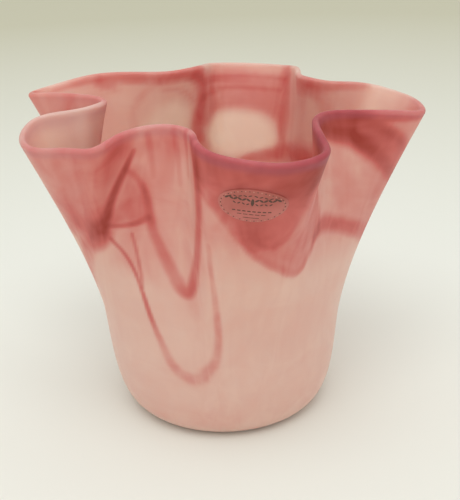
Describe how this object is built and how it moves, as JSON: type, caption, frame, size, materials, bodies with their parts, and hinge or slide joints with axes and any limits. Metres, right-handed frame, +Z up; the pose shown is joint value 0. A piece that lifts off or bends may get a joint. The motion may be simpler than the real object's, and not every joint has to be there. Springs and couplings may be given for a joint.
{
  "type": "handkerchief vase",
  "caption": "Satin glass vase: a round body on a flat foot, its wall drawn up into loose pinched folds, with a small oval label on the front fold.",
  "frame": {"origin": "centre of the flat foot, on the surface that the vase stands on", "axes": "+Z up through the mouth; the labelled fold faces -Y; +X is to the right as the label is read"},
  "size_m": [0.1845, 0.1793, 0.1484],
  "materials": {
    "satin_rose_glass": "satin, opal, pale pink with rose trails",
    "clear_foil": "thin clear foil with a dotted dark border"
  },
  "bodies": {
    "root": {"vase": "satin_rose_glass", "label": "clear_foil"}
  },
  "joints": []
}
